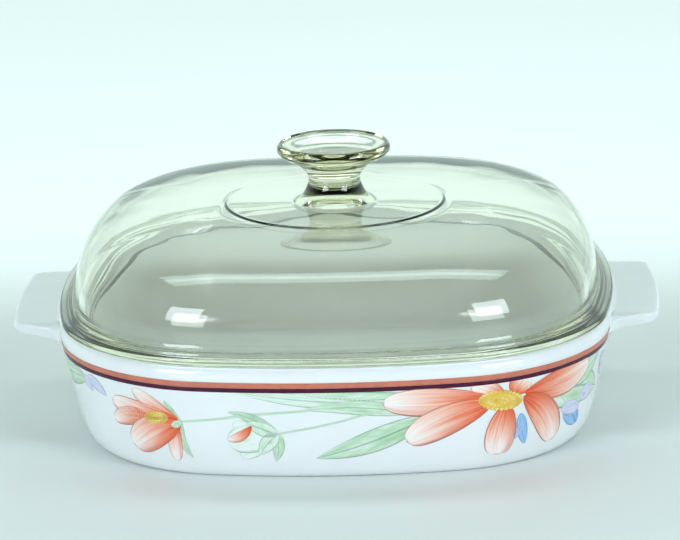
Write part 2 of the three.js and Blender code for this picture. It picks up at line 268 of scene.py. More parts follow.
def soften(points, radius, count=4):
    """An open outline with each inner corner replaced by a small round."""
    points = [np.array(point, float) for point in points]
    out = [points[0]]
    for before, here, after in zip(points, points[1:], points[2:]):
        back, ahead = before - here, after - here
        reach_back = min(radius, MOST_OF_HALF * np.linalg.norm(back))
        reach_ahead = min(radius, MOST_OF_HALF * np.linalg.norm(ahead))
        start = here + back / np.linalg.norm(back) * reach_back
        end = here + ahead / np.linalg.norm(ahead) * reach_ahead
        out.extend(bend(start, here, end, count))
        out.append(end)
    return out + [points[-1]]


def spline(points, count):
    """A smooth curve through the points, with count steps between each two."""
    through = np.array(points, float)
    through = np.vstack([through[0], through, through[-1]])
    t = (np.arange(count) / count)[:, None]
    out = []
    for before, start, end, after in zip(through, through[1:], through[2:], through[3:]):
        bowed = 2 * before - 5 * start + 4 * end - after
        twisted = 3 * start - before - 3 * end + after
        out.append(0.5 * (2 * start + (end - before) * t + bowed * t**2 + twisted * t**3))
    return np.vstack(out + [through[-1:]])


def fade(value, start, end):
    """1 before start, 0 after end, smooth between."""
    t = np.clip((value - start) / (end - start), 0, 1)
    return np.clip(1 - t**3 * (t * (t * 6 - 15) + 10), 0, 1)


def new_object(name, points, faces, material):
    """A smooth-shaded mesh object from points in millimetres of the design."""
    mesh = bpy.data.meshes.new(name)
    mesh.from_pydata((np.array(points) * MM).tolist(), [], faces)
    mesh.shade_smooth()
    mesh.materials.append(material)
    piece = bpy.data.objects.new(name, mesh)
    bpy.context.scene.collection.objects.link(piece)
    return piece


def lofted(name, bottom, rings, top, material):
    """A closed mesh from rings of points between two poles."""
    rows, columns = len(rings), len(rings[0])
    points = np.vstack([[bottom], np.vstack(rings), [top]])
    at = 1 + np.arange(rows)[:, None] * columns + np.arange(columns)[None, :]
    right = np.roll(at, -1, axis=1)
    quads = np.stack([at[:-1], right[:-1], right[1:], at[1:]], -1).reshape(-1, 4).tolist()
    low = [[0, int(after), int(here)] for here, after in zip(at[0], right[0])]
    high = [[len(points) - 1, int(here), int(after)] for here, after in zip(at[-1], right[-1])]
    return new_object(name, points, quads + low + high, material)


# ---------------------------------------------------------------- dish
def lug_reach(angle):
    """How far the lug stands out of the wall at each normal angle."""
    turn = angle - np.round(angle / math.pi) * math.pi
    reach = LUG_REACH * fade(np.abs(turn) * SIDE_RADIUS, LUG_FLAT_HALF, LUG_ROOT_HALF)
    return np.where(np.abs(turn) > JOIN_ANGLE, 0, reach)


LUG_UNDERSIDE = LUG_TOP - LUG_THICKNESS
LUG_SECTION = [  # share of the lug's reach, and height, from the hollow under it, round its edge, to the wall
    (0, LUG_UNDERSIDE - LUG_ROOT_DROP),
    (0.1, LUG_UNDERSIDE - 0.5 * LUG_ROOT_DROP),
    (0.24, LUG_UNDERSIDE - 0.2 * LUG_ROOT_DROP),
    (0.45, LUG_UNDERSIDE - 0.05 * LUG_ROOT_DROP),
    (0.9, LUG_UNDERSIDE + 0.1),
    (0.97, LUG_UNDERSIDE + 0.17 * LUG_THICKNESS),
    (1, LUG_UNDERSIDE + 0.5 * LUG_THICKNESS),
    (0.97, LUG_TOP - 0.17 * LUG_THICKNESS),
    (0.9, LUG_TOP - 0.1),
    (0.45, LUG_TOP),
    (0, LUG_TOP + 0.2),
]


def shoulder_start(reach):
    """Where the rim's rounding begins: above the lug where there is one."""
    return SHOULDER_START + (LUG_TOP + LUG_SHOULDER_GAP - SHOULDER_START) * math.sqrt(reach / LUG_REACH)


def lug_points(reach):
    """The wall's points from the hollow under the lug to the rim's shoulder."""
    out, height = np.array(LUG_SECTION).T
    even = np.linspace(height[0], shoulder_start(reach) - LUG_END_GAP, len(height))
    z = even + (height - even) * math.sqrt(reach / LUG_REACH)
    return spline(np.stack([wall_inset(z) - out * reach, z], -1), LUG_STEPS)


def dish_section(reach):
    """[inset, height] from under the foot, up the outside, over the rim and down the inside."""
    foot, belly = (FOOT_OUTER, 0), (BELLY_FOOT_INSET, BELLY_FOOT)
    foot_corner = (BELLY_FOOT_INSET - WALL_SLOPE * BELLY_FOOT, 0)
    shoulder = (BELLY_TOP_INSET, shoulder_start(reach))
    land_outer, land_inner = (RIM_LAND_OUTER, RIM_TOP), (RIM_LAND_INNER, RIM_TOP)
    mouth = (RIM_LAND_INNER + MOUTH_ROUNDING, RIM_TOP - MOUTH_ROUNDING)
    inner_foot = (INNER_FOOT_INSET, FLOOR_TOP + FLOOR_ROUNDING)
    floor_edge = (INNER_FOOT_INSET + FLOOR_ROUNDING, FLOOR_TOP)
    foot_inner = FOOT_OUTER + FOOT_WIDTH
    wall = np.linspace(BELLY_FOOT, LUG_SECTION[0][1], OUTER_WALL_RINGS)[:-1]
    inner = np.linspace(mouth, inner_foot, INNER_WALL_RINGS)[1:]
    floor = np.linspace(floor_edge, (INNERMOST_INSET, FLOOR_TOP - FLOOR_SAG), FLOOR_RINGS)[1:]
    return np.vstack([
        [(inset, FOOT_RECESS) for inset in UNDERSIDE_INSETS],
        soften([(foot_inner + FOOT_SLOPE, FOOT_RECESS), (foot_inner, 0), foot], FOOT_ROUNDING)[:-1],
        bend(foot, foot_corner, belly, FOOT_STEPS),
        np.stack([wall_inset(wall), wall], -1),
        lug_points(reach),
        bend(shoulder, (BELLY_TOP_INSET + RIM_FULLNESS, RIM_TOP), land_outer, SHOULDER_STEPS),
        bend(land_outer, (RIM_LAND_MIDDLE, RIM_TOP), land_inner, LAND_STEPS),
        bend(land_inner, (mouth[0], RIM_TOP), mouth, MOUTH_STEPS),
        [mouth],
        inner,
        bend(inner_foot, (INNER_FOOT_INSET + FLOOR_CORNER_LEAN, FLOOR_TOP), floor_edge, FOOT_STEPS)[1:],
        [floor_edge],
        floor,
    ])


def add_dish(material):
    """The dish with its two lugs, as one closed mesh of rings round the same outline."""
    angles = column_angles(DISH_COLUMNS)
    sections = np.array([dish_section(reach) for reach in lug_reach(angles)])
    rings = []
    for inset, z in sections.transpose(1, 2, 0):
        held = np.minimum(inset, FOLD_INSET)
        x, y = plan_point(angles, held)
        shrink = (HALF_WIDTH - inset) / (HALF_WIDTH - held)
        rings.append(np.stack([x * shrink, y * shrink, z], -1))
    piece = lofted("dish_body", (0, 0, FOOT_RECESS), rings, (0, 0, FLOOR_TOP - FLOOR_SAG), material)
    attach(piece, "dish")
    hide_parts("dish")


# ---------------------------------------------------------------- glass lid with its knob
def dome_rings(thickness, shares):
    """Rings of the dome moved inwards by the thickness, at these shares of the way up to the pad."""
    angles = column_angles(LID_COLUMNS)
    power = DOME_WIDTH_POWER + DOME_DEPTH_POWER * np.sin(angles) ** 2
    end = np.arccos((PAD_RADIUS / DOME_HALF_WIDTH) ** (power / 2))
    rings = []
    for share in shares:
        rise = share * end
        outward = np.cos(rise) ** (2 / power)
        upward = np.sin(rise) ** (2 / DOME_HEIGHT_POWER)
        half_width = outward * DOME_HALF_WIDTH - thickness * np.minimum(1, CROWN_BLEND * outward)
        way_out = np.maximum(half_width - PAD_RADIUS, 0) / (DOME_HALF_WIDTH - PAD_RADIUS)
        squareness = way_out**DOME_SQUARENESS
        x, y = plan_point(angles, 0)
        roundness = half_width - squareness * HALF_WIDTH
        x = squareness * x + roundness * np.cos(angles)
        y = squareness * y + roundness * np.sin(angles)
        rings.append(np.stack([x, y, DOME_BASE + upward * (DOME_RISE - thickness)], -1))
    return rings


def flange_rings(angles):
    """The locating ring, the flange that rests on the rim, and the step up to the dome."""
    foot, edge_top = LID_REST - RING_DEPTH, LID_REST + FLANGE_EDGE
    step_top = edge_top + STEP_RISE
    outline = [
        (RING_INNER, foot + RING_INNER_BEVEL),
        (RING_INNER + RING_LEAN, foot),
        (RING_OUTER + RING_OUTER_BEVEL[0], foot),
        (RING_OUTER, foot + RING_OUTER_BEVEL[1]),
        (RING_OUTER, LID_REST),
        (0, LID_REST),
        (0, edge_top),
        (FLANGE_TREAD_INSET, edge_top + FLANGE_SLOPE),
        (STEP_TOP_INSET, step_top),
        (FILLET_INSET, step_top + FLANGE_SLOPE),
    ]
    corner = (FILLET_CORNER[0], step_top + FILLET_CORNER[1])
    fillet = bend(outline[-1], corner, (DOME_WALL_INSET, DOME_FOOT), FILLET_STEPS)[1:]
    rings = []
    for inset, z in [*soften(outline, FLANGE_ROUNDING, FLANGE_STEPS), *fillet]:
        x, y = plan_point(angles, inset)
        rings.append(np.stack([x, y, np.full_like(x, z)], -1))
    return rings


def round_rings(angles, outline):
    """Circular rings from [radius, height] pairs."""
    rings = []
    for radius, z in outline:
        x, y = radius * np.cos(angles), radius * np.sin(angles)
        rings.append(np.stack([x, y, np.full_like(angles, z)], -1))
    return rings


def pad_points(foot):
    """[radius, height] up the pad's edge from this height and in over its flat top to the knob."""
    edge = []
    for share in np.linspace(PAD_EDGE_START, 1, PAD_EDGE_RINGS):
        edge.append((PAD_RADIUS - PAD_EDGE * share, foot + (PAD_TOP - foot) * (1 - fade(share, 0, 1))))
    outer, inner = PAD_RADIUS - PAD_EDGE - PAD_MARGIN, KNOB_OUTLINE[0][0] + PAD_MARGIN
    return edge + [(radius, PAD_TOP) for radius in np.linspace(outer, inner, PAD_RINGS)]


def knob_points():
    """[radius, height] of the knob, as tall as its CAD node."""
    knob = spline(KNOB_OUTLINE, KNOB_STEPS)[:-1]
    knob[:, 1] = PAD_TOP + np.maximum(knob[:, 1], 0) * KNOB_HEIGHT / knob[:, 1].max()
    return knob.tolist()


def recess_points(ceiling):
    """[radius, height] of the hollow in the ceiling, from its middle outwards."""
    radii = np.linspace(RECESS_FIRST_RADIUS, RECESS_REACH[1], RECESS_RINGS)
    return [(radius, ceiling + RECESS_DEPTH * fade(radius, *RECESS_REACH)) for radius in radii]


def add_lid(material):
    """The lid and its knob as one closed casting: its inside, flange, dome, pad and knob."""
    angles = column_angles(LID_COLUMNS)
    inside = dome_rings(GLASS_THICKNESS, np.linspace(1, INSIDE_FOOT_SHARE, DOME_INSIDE_RINGS))
    outside = dome_rings(0, np.linspace(DOME_FOOT_SHARE, 1, DOME_OUTSIDE_RINGS))
    pad = pad_points(float(outside[-1][:, 2].mean()))
    knob = knob_points()
    ceiling = DOME_BASE + DOME_RISE - GLASS_THICKNESS
    rings = round_rings(angles, recess_points(ceiling)) + inside + flange_rings(angles) + outside
    rings += round_rings(angles, pad + knob)
    top = (0, 0, knob[-1][1])
    piece = lofted("glass_lid", (0, 0, ceiling + RECESS_DEPTH), rings, top, material)
    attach(piece, "lid")
    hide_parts("lid", "lid_knob")


# ---------------------------------------------------------------- fired enamel on the wall
def wall_points(distance, z, off):
    """Points on the wall at distances along the outline and heights, moved outwards by off."""
    z = np.maximum(z, LOWEST_FILM)
    x, y = plan_point(angle_along(distance), wall_inset(z) - off)
    return np.stack([x, y, z], -1)


def film(distance, z, layer):
    """A closed thin film over a grid of wall points: its points and faces."""
    rows, columns = distance.shape
    top = wall_points(distance, z, FILM + LAYER * layer)
    under = wall_points(distance, z, FILM / 2)
    at = np.arange(rows * columns).reshape(rows, columns)
    quads = np.stack([at[:-1, :-1], at[:-1, 1:], at[1:, 1:], at[1:, :-1]], -1).reshape(-1, 4)
    edge = np.concatenate([at[0, :-1], at[:-1, -1], at[-1, :0:-1], at[:0:-1, 0]])
    after = np.roll(edge, -1)
    shift = rows * columns
    side = np.stack([after, edge, edge + shift, after + shift], -1)
    faces = np.vstack([quads, quads[:, ::-1] + shift, side])
    return np.vstack([top.reshape(-1, 3), under.reshape(-1, 3)]), faces


def middle_of(side):
    """Where the middle of the front or the back lies along the outline."""
    return 0 if side == "front" else 2 * QUARTER_ARC


def add_stripe(name, node, side, low, high, material):
    """A stripe from one lug's root to the other's."""
    half = QUARTER_ARC - LUG_ROOT_HALF
    distance = middle_of(side) + np.linspace(-half, half, STRIPE_COLUMNS)
    distance_grid, z_grid = np.meshgrid(distance, np.linspace(low, high, STRIPE_ROWS))
    points, faces = film(distance_grid, z_grid, STRIPE_LAYER)
    piece = new_object(name, points, faces.tolist(), material)
    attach(piece, "dish")
    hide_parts(node)


# ---------------------------------------------------------------- painted flowers, places in millimetres
PAINT_LIMIT = 42.8  # the painting ends under the burgundy stripe
BLADE_END_HALF = 0.06  # the half width that is left at a shape's very ends
TINY = 1e-6


def blade(start, end, width, curve=0.0, root=0.7, tip=0.35, layer=0, shade=0.5):
    """One brush shape on the wall, from start to end as (distance from the side's middle, height).

    The curve bows it to one side, a larger root or tip makes that end more pointed, a higher layer covers
    lower ones, and the shade picks its tint.
    """
    return {"start": start, "end": end, "width": width, "curve": curve, "root": root, "tip": tip,
            "layer": layer, "shade": shade}


def blade_mesh(shape, middle):
    """The film of one brush shape, and each point's place along it and across it."""
    run = np.linspace(0, 1, BLADE_ROWS)[:, None]
    start, end = np.array(shape["start"], float), np.array(shape["end"], float)
    chord = end - start
    bow = (start + end) / 2 + np.array([-chord[1], chord[0]]) * shape["curve"]
    line = (1 - run) ** 2 * start + 2 * run * (1 - run) * bow + run**2 * end
    slope = 2 * (1 - run) * (bow - start) + 2 * run * (end - bow)
    normal = np.stack([-slope[:, 1], slope[:, 0]], -1) / np.linalg.norm(slope, axis=1, keepdims=True)
    root, tip = shape["root"], shape["tip"]
    peak = root / (root + tip)
    most = peak**root * (1 - peak) ** tip
    half = shape["width"] / 2 * run**root * (1 - run) ** tip / most + BLADE_END_HALF
    rise = np.abs(normal[:, 1:]) * half
    reach = np.clip((PAINT_LIMIT - line[:, 1:]) / np.maximum(rise, TINY), -1, 1)
    upwards = normal[:, 1:] > 0
    low = np.where(upwards, -1, -reach)
    high = np.where(upwards, reach, 1)
    across = low + (high - low) * np.linspace(0, 1, BLADE_COLUMNS)[None, :]
    distance = line[:, :1] + across * half * normal[:, :1]
    z = line[:, 1:] + across * half * normal[:, 1:]
    points, faces = film((distance + middle).T, z.T, shape["layer"])
    along = np.broadcast_to(run, across.shape).T.reshape(-1)
    side = (0.5 + 0.5 * across).T.reshape(-1)
    return points, faces, np.tile(along, 2), np.tile(side, 2)


def add_painting(name, shapes, side, material):
    """All brush shapes of one kind on one side of the dish, as one object."""
    points, faces = [], []
    painted = {"along": [], "across": [], "shade": []}
    count = 0
    for shape in shapes:
        shape_points, shape_faces, along, across = blade_mesh(shape, middle_of(side))
        points.append(shape_points)
        faces.append(shape_faces + count)
        painted["along"].append(along)
        painted["across"].append(across)
        painted["shade"].append(np.full(len(shape_points), shape["shade"]))
        count += len(shape_points)
    piece = new_object(f"{name}_{side}", np.vstack(points), np.vstack(faces).tolist(), material)
    for key, values in painted.items():
        attribute = piece.data.attributes.new(key, "FLOAT", "POINT")
        attribute.data.foreach_set("value", np.concatenate(values).astype(np.float32))
    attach(piece, "dish")


def petals():
    """The coral flowers: a small one on the left and a large open one on the right."""
    return [
        blade((-68, 28.5), (-90, 40.5), 7.5, 0.10, 0.8, 0.5, 2, 0.75),
        blade((-70, 28.5), (-104, 32.5), 10.5, 0.06, 0.6, 0.4, 3, 0.6),
        blade((-80, 26), (-105, 22.5), 9, -0.22, 0.7, 0.5, 3, 0.1),
        blade((-69, 27), (-73, 19), 5, 0.1, 0.6, 0.6, 3, 0.0),
        blade((-69, 25), (-71, 7.5), 7, -0.15, 0.6, 0.5, 2, 0.95),
        blade((-67, 26.5), (-95, 12), 16, -0.12, 0.6, 0.42, 4, 0.35),
        blade((77, 36), (62, 43.5), 10, 0.1, 0.5, 0.4, 1, 0.9),
        blade((82, 36), (88, 44), 12, 0.1, 0.5, 0.4, 1, 0.55),
        blade((70, 36.5), (22.5, 36.6), 13.5, 0.02, 0.75, 0.5, 3, 0.5),
        blade((71, 33), (33, 17.5), 15, -0.10, 0.6, 0.42, 4, 0.45),
        blade((79, 31), (75.5, 7.5), 15.5, -0.03, 0.5, 0.3, 5, 0.6),
        blade((87, 34), (109, 8.5), 15, 0.18, 0.6, 0.38, 4, 0.3),
        blade((87, 36), (130, 40.5), 15, -0.08, 0.8, 0.55, 3, 0.25),
        blade((-35, 26.5), (-46, 19.5), 4.6, 0.25, 0.8, 0.6, 6, 0.1),
    ]


def leaves():
    """Leaves, sepals and the bud's calyx."""
    return [
        blade((-66.5, 27), (-74, 37), 3.2, 0.15, 0.9, 0.8, 1, 0.3),
        blade((-66.5, 27), (-63, 9.5), 3.4, -0.28, 0.7, 0.8, 1, 0.4),
        blade((-66.5, 27.5), (-72, 25), 3.4, 0.1, 0.9, 0.7, 5, 0.5),
        blade((-23.5, 22.5), (-45, 33), 4.5, -0.14, 0.8, 1.0, 4, 0.3),
        blade((-23.5, 22.5), (-37, 28), 6.5, 0.05, 0.7, 0.8, 5, 0.7),
        blade((-23.5, 22.5), (-32, 12), 7, -0.12, 0.6, 0.9, 5, 0.85),
        blade((-23.5, 22.5), (-25, 9), 5, 0.10, 0.6, 0.9, 4, 0.4),
        blade((-14, 33.8), (34, 31.5), 7, 0.10, 1.2, 0.7, 1, 0.5),
        blade((46, 31), (-7, 10.5), 11, 0.06, 0.9, 1.0, 1, 0.35),
        blade((26, 37.5), (-42, 43), 6.5, 0.05, 0.8, 1.0, 0, 0.95),
        blade((36, 41), (-16, 42.5), 8, -0.03, 0.8, 1.0, 0, 0.6),
        blade((88, 33), (147, 24), 19, 0.10, 0.7, 0.8, 0, 0.5),
        blade((118, 34), (141, 43), 11, -0.10, 0.7, 0.9, 1, 0.35),
        blade((-158, 33), (-121, 38), 11, 0.08, 0.8, 0.9, 0, 0.45),
    ]


def bud_and_blooms():
    """The pale bud and the lilac and blue blooms at the ends."""
    return [
        blade((-23.5, 22), (-43, 27.5), 8, 0.12, 0.55, 0.5, 2, 0.03),
        blade((-23.5, 21), (-40, 10.5), 9, -0.14, 0.5, 0.5, 2, 0.05),
        blade((-23.5, 21.5), (-45.5, 18), 14, -0.06, 0.5, 0.4, 3, 0.0),
        blade((86.5, 26), (90.5, 10.5), 5.5, -0.05, 0.6, 0.7, 6, 0.9),
        blade((87.5, 22), (84.5, 14), 3, 0.1, 0.7, 0.8, 6, 0.75),
        blade((114, 20), (129, 12), 9, 0.12, 0.6, 0.6, 1, 0.85),
        blade((112, 22), (128, 19), 7, 0.1, 0.6, 0.6, 2, 0.45),
        blade((140, 26), (127, 26), 8, 0.15, 0.6, 0.5, 2, 0.4),
        blade((156, 27), (147, 39), 8, -0.12, 0.7, 0.6, 2, 0.45),
        blade((-121, 40), (-108, 33.5), 6, 0.12, 0.7, 0.8, 1, 0.5),
        blade((-124, 40), (-119, 33), 5, 0.1, 0.7, 0.8, 1, 0.4),
    ]


def stems():
    """Thin stems, each in two bent strokes."""
    return [
        blade((-67, 27.4), (-34, 32.2), 1.0, -0.03, 0.12, 0.05, 2, 0.5),
        blade((-36, 31.9), (0, 35.2), 1.0, -0.02, 0.05, 0.12, 2, 0.5),
        blade((-25, 22.4), (6, 28.8), 0.9, -0.02, 0.12, 0.05, 2, 0.5),
        blade((5, 28.6), (27, 33.5), 1.0, 0.05, 0.05, 0.12, 2, 0.5),
    ]


FLOWER_MIDDLES = [  # centre, half length, half height and tilt in radians
    ((75.5, 34), 10.5, 4.4, -0.15),
    ((-79.5, 28), 5.4, 2.5, 0.12),
]
BEAD_RINGS = [(0.95, 1.0), (0.6, 0.85), (0.25, 0.85)]  # share of the oval, and half length of the beads
BEADS_ROUND = 24  # how many go round an oval of half length 10
FEWEST_BEADS = 3
OVAL_LAYER = 6


def bead(spot, half, ring, number):
    """One small bead, in a tint that varies from bead to bead."""
    left, right = (spot.x - half, spot.y), (spot.x + half, spot.y)
    tint = 0.5 + 0.4 * math.sin(7 * number + ring)
    return blade(left, right, 1.5 * half, 0, 0.5, 0.5, OVAL_LAYER + 1 + ring, tint)


def stamens():
    """The yellow middles: an oval, with beads set round and over it."""
    shapes = []
    for centre, long, short, tilt in FLOWER_MIDDLES:
        turn = Matrix.Rotation(tilt, 2)
        reach = turn @ Vector((long, 0))
        left, right = Vector(centre) - reach, Vector(centre) + reach
        shapes.append(blade(tuple(left), tuple(right), 2 * short, 0, 0.45, 0.45, OVAL_LAYER, 0.2))
        for ring, (share, half) in enumerate(BEAD_RINGS):
            beads = int(BEADS_ROUND * share * math.sqrt(long / 10)) + FEWEST_BEADS
            for number in range(beads):
                angle = 2 * math.pi * (number + 0.5 * ring) / beads
                out = Vector((long * share * math.cos(angle), short * share * math.sin(angle)))
                shapes.append(bead(Vector(centre) + turn @ out, half, ring, number))
    return shapes


# ---------------------------------------------------------------- materials
def put(tree, kind, inputs=None, **settings):
    """A new node, with its settings and its inputs as values or as links from other nodes' outputs."""
    made = tree.nodes.new(kind)
    for key, value in settings.items():
        setattr(made, key, value)
    for key, value in (inputs or {}).items():
        if isinstance(value, bpy.types.NodeSocket):
            tree.links.new(value, made.inputs[key])
        else:
            made.inputs[key].default_value = value
    return made


def calc(tree, operation, *values):
    """The output of a Math node."""
    return put(tree, "ShaderNodeMath", dict(enumerate(values)), operation=operation).outputs[0]


def ramp(tree, factor, stops):
    """The colour at factor along stops of (place, (red, green, blue))."""
    made = put(tree, "ShaderNodeValToRGB", {"Fac": factor})
    elements = made.color_ramp.elements
    while len(elements) < len(stops):
        elements.new(0.5)
    for element, (place, colour) in zip(elements, stops):
        element.position = place
        element.color = (*colour, 1)
    return made.outputs["Color"]


def mixed(tree, factor, first, second):
    """The first colour turning into the second as the factor goes from 0 to 1."""
    made = put(tree, "ShaderNodeMix", data_type="RGBA")
    for index, value in ((0, factor), (6, first), (7, second)):
        if isinstance(value, bpy.types.NodeSocket):
            tree.links.new(value, made.inputs[index])
        else:
            made.inputs[index].default_value = value if index == 0 else (*value, 1)
    return made.outputs[2]


def step(tree, value, low, high):
    """0 below low, 1 above high, smooth between."""
    made = put(tree, "ShaderNodeMapRange", {"Value": value, "From Min": low, "From Max": high},
               interpolation_type="SMOOTHSTEP")
    return made.outputs["Result"]


def noise(tree, vector, scale, detail=2.0, roughness=0.5):
    """A noise value around 0.5."""
    made = put(tree, "ShaderNodeTexNoise", {"Vector": vector, "Scale": scale, "Detail": detail,
                                            "Roughness": roughness})
    return made.outputs["Fac"]


def surface(name):
    """A new material: its node tree and its Principled shader."""
    material = bpy.data.materials.new(name)
    material.use_nodes = True
    return material, material.node_tree, material.node_tree.nodes["Principled BSDF"]


def place_on(tree):
    """Places on the object, in metres."""
    return put(tree, "ShaderNodeTexCoord").outputs["Object"]


def bumped(tree, shader, height, distance, strength):
    """Relief on a shader: the height between 0 and 1 spans this distance in metres."""
    made = put(tree, "ShaderNodeBump", {"Height": height, "Distance": distance, "Strength": strength})
    tree.links.new(made.outputs["Normal"], shader.inputs["Normal"])


def add_glaze():
    """White glass-ceramic: a faint mottle, a slightly wavy gloss, and a ground foot ring."""
    material, tree, shader = surface("white_glaze")
    place = place_on(tree)
    mottle = noise(tree, place, 60, 4)
    height = put(tree, "ShaderNodeSeparateXYZ", {0: place}).outputs["Z"]
    ground = calc(tree, "SUBTRACT", 1.0, step(tree, height, 0.0002, 0.0009))
    colour = ramp(tree, mottle, [(0.3, (0.78, 0.80, 0.81)), (0.7, (0.81, 0.83, 0.83))])
    gloss = calc(tree, "MULTIPLY_ADD", noise(tree, place, 25, 3), 0.07, 0.07)
    tree.links.new(mixed(tree, ground, colour, (0.62, 0.62, 0.60)), shader.inputs["Base Color"])
    tree.links.new(calc(tree, "MULTIPLY_ADD", ground, 0.5, gloss), shader.inputs["Roughness"])
    shader.inputs["IOR"].default_value = 1.54
    bumped(tree, shader, noise(tree, place, 140, 2), 0.0001, 0.25)
    return material


def add_glass():
    """Clear pressed glass, olive where it is thick and a little wavy.

    Only part of a lamp's straight light passes it, because light that is bent through it arrives as well.
    """
    material, tree, shader = surface("lid_glass")
    shader.inputs["Base Color"].default_value = (1, 1, 1, 1)
    shader.inputs["IOR"].default_value = 1.47
    shader.inputs["Transmission Weight"].default_value = 1
    place = place_on(tree)
    smear = noise(tree, place, 18, 3)
    tree.links.new(calc(tree, "MULTIPLY", step(tree, smear, 0.5, 0.8), 0.006), shader.inputs["Roughness"])
    bumped(tree, shader, noise(tree, place, 26, 1), 0.0005, 0.3)
    see_through = put(tree, "ShaderNodeBsdfTransparent", {"Color": (0.36, 0.37, 0.31, 1)})
    rays = put(tree, "ShaderNodeLightPath")
    mix = put(tree, "ShaderNodeMixShader", {0: rays.outputs["Is Shadow Ray"], 1: shader.outputs["BSDF"],
                                            2: see_through.outputs["BSDF"]})
    absorb = put(tree, "ShaderNodeVolumeAbsorption", {"Color": (0.78, 0.76, 0.38, 1), "Density": 25})
    output = tree.nodes["Material Output"]
    tree.links.new(mix.outputs["Shader"], output.inputs["Surface"])
    tree.links.new(absorb.outputs["Volume"], output.inputs["Volume"])
    return material


def add_band_enamel(name, light, dark):
    """A printed stripe: fired enamel with uneven cover and a soft gloss."""
    material, tree, shader = surface(name)
    place = place_on(tree)
    cover = noise(tree, place, 180, 4, 0.6)
    tree.links.new(ramp(tree, cover, [(0.35, dark), (0.65, light)]), shader.inputs["Base Color"])
    tree.links.new(calc(tree, "MULTIPLY_ADD", cover, 0.15, 0.13), shader.inputs["Roughness"])
    shader.inputs["Specular IOR Level"].default_value = 0.25
    bumped(tree, shader, cover, 0.00005, 0.4)
    return material


def brush(name):
    """A painted material, with each shape's own run, sides and shade as outputs."""
    material, tree, shader = surface(name)
    along = put(tree, "ShaderNodeAttribute", attribute_name="along").outputs["Fac"]
    across = put(tree, "ShaderNodeAttribute", attribute_name="across").outputs["Fac"]
    shade = put(tree, "ShaderNodeAttribute", attribute_name="shade").outputs["Fac"]
    side = calc(tree, "ABSOLUTE", calc(tree, "MULTIPLY_ADD", across, 2.0, -1.0))
    return material, tree, shader, along, across, shade, side


def fibres(tree, along, across, shade, lengthwise, crosswise):
    """Noise drawn out along a brush shape, different for each shade."""
    vector = put(tree, "ShaderNodeCombineXYZ", {0: calc(tree, "MULTIPLY", along, lengthwise),
                                                1: calc(tree, "MULTIPLY", across, crosswise),
                                                2: calc(tree, "MULTIPLY", shade, 30.0)}).outputs[0]
    return noise(tree, vector, 1.0, 3, 0.55)


def finish_brush(tree, shader, colour, thickness):
    """What all paints share: a soft gloss, a little rougher and higher where the paint is thick."""
    shader.inputs["Specular IOR Level"].default_value = 0.3
    tree.links.new(colour, shader.inputs["Base Color"])
    tree.links.new(calc(tree, "MULTIPLY_ADD", thickness, 0.12, 0.12), shader.inputs["Roughness"])
    bumped(tree, shader, thickness, 0.00004, 0.3)


def add_petal_paint():
    """Coral petals: deep at the root, pale at the tip, with streaks, fine veins and a red-brown outline."""
    material, tree, shader, along, across, shade, side = brush("petal_enamel")
    streak = fibres(tree, along, across, shade, 1.6, 13.0)
    tone = calc(tree, "MULTIPLY_ADD", streak, 0.9, calc(tree, "MULTIPLY_ADD", shade, 0.25, -0.55))
    colour = ramp(tree, calc(tree, "ADD", along, tone), [
        (0.0, (0.70, 0.07, 0.02)),
        (0.22, (0.80, 0.20, 0.10)),
        (0.5, (0.86, 0.42, 0.31)),
        (0.72, (0.90, 0.64, 0.55)),
        (0.95, (0.90, 0.82, 0.78)),
    ])
    fine = fibres(tree, along, across, shade, 2.0, 40.0)
    veins = calc(tree, "MULTIPLY", step(tree, fine, 0.6, 0.72), 0.35)
    colour = mixed(tree, veins, colour, (0.66, 0.14, 0.07))
    blush = calc(tree, "MULTIPLY", step(tree, across, 0.62, 0.98), step(tree, streak, 0.35, 0.6))
    colour = mixed(tree, calc(tree, "MULTIPLY", blush, 0.75), colour, (0.70, 0.10, 0.03))
    rim = calc(tree, "MAXIMUM", step(tree, side, 0.88, 0.99), step(tree, along, 0.975, 1.0))
    colour = mixed(tree, calc(tree, "MULTIPLY", rim, 0.7), colour, (0.48, 0.11, 0.06))
    finish_brush(tree, shader, colour, streak)
    return material


def add_leaf_paint():
    """Leaves: mottled green washes with a midrib, slanting veins and a darker outline."""
    material, tree, shader, along, across, shade, side = brush("leaf_enamel")
    wash = fibres(tree, along, across, shade, 3.0, 3.0)
    tone = calc(tree, "ADD", calc(tree, "MULTIPLY_ADD", wash, 1.6, -0.55), calc(tree, "MULTIPLY", shade, 0.6))
    colour = ramp(tree, tone, [
        (0.1, (0.32, 0.52, 0.30)),
        (0.45, (0.49, 0.67, 0.47)),
        (0.85, (0.72, 0.81, 0.72)),
    ])
    slant = calc(tree, "FRACT", calc(tree, "MULTIPLY_ADD", along, 7.0, calc(tree, "MULTIPLY", side, -1.6)))
    veins = calc(tree, "MULTIPLY", calc(tree, "SUBTRACT", 1.0, step(tree, slant, 0.03, 0.1)),
                 step(tree, wash, 0.38, 0.6))
    midrib = calc(tree, "SUBTRACT", 1.0, step(tree, side, 0.03, 0.1))
    outline = calc(tree, "MULTIPLY", step(tree, side, 0.9, 0.98), 0.6)
    lines = calc(tree, "MAXIMUM", calc(tree, "MAXIMUM", calc(tree, "MULTIPLY", veins, 0.45),
                                       calc(tree, "MULTIPLY", midrib, 0.6)), outline)
    finish_brush(tree, shader, mixed(tree, lines, colour, (0.10, 0.27, 0.20)), wash)
    return material


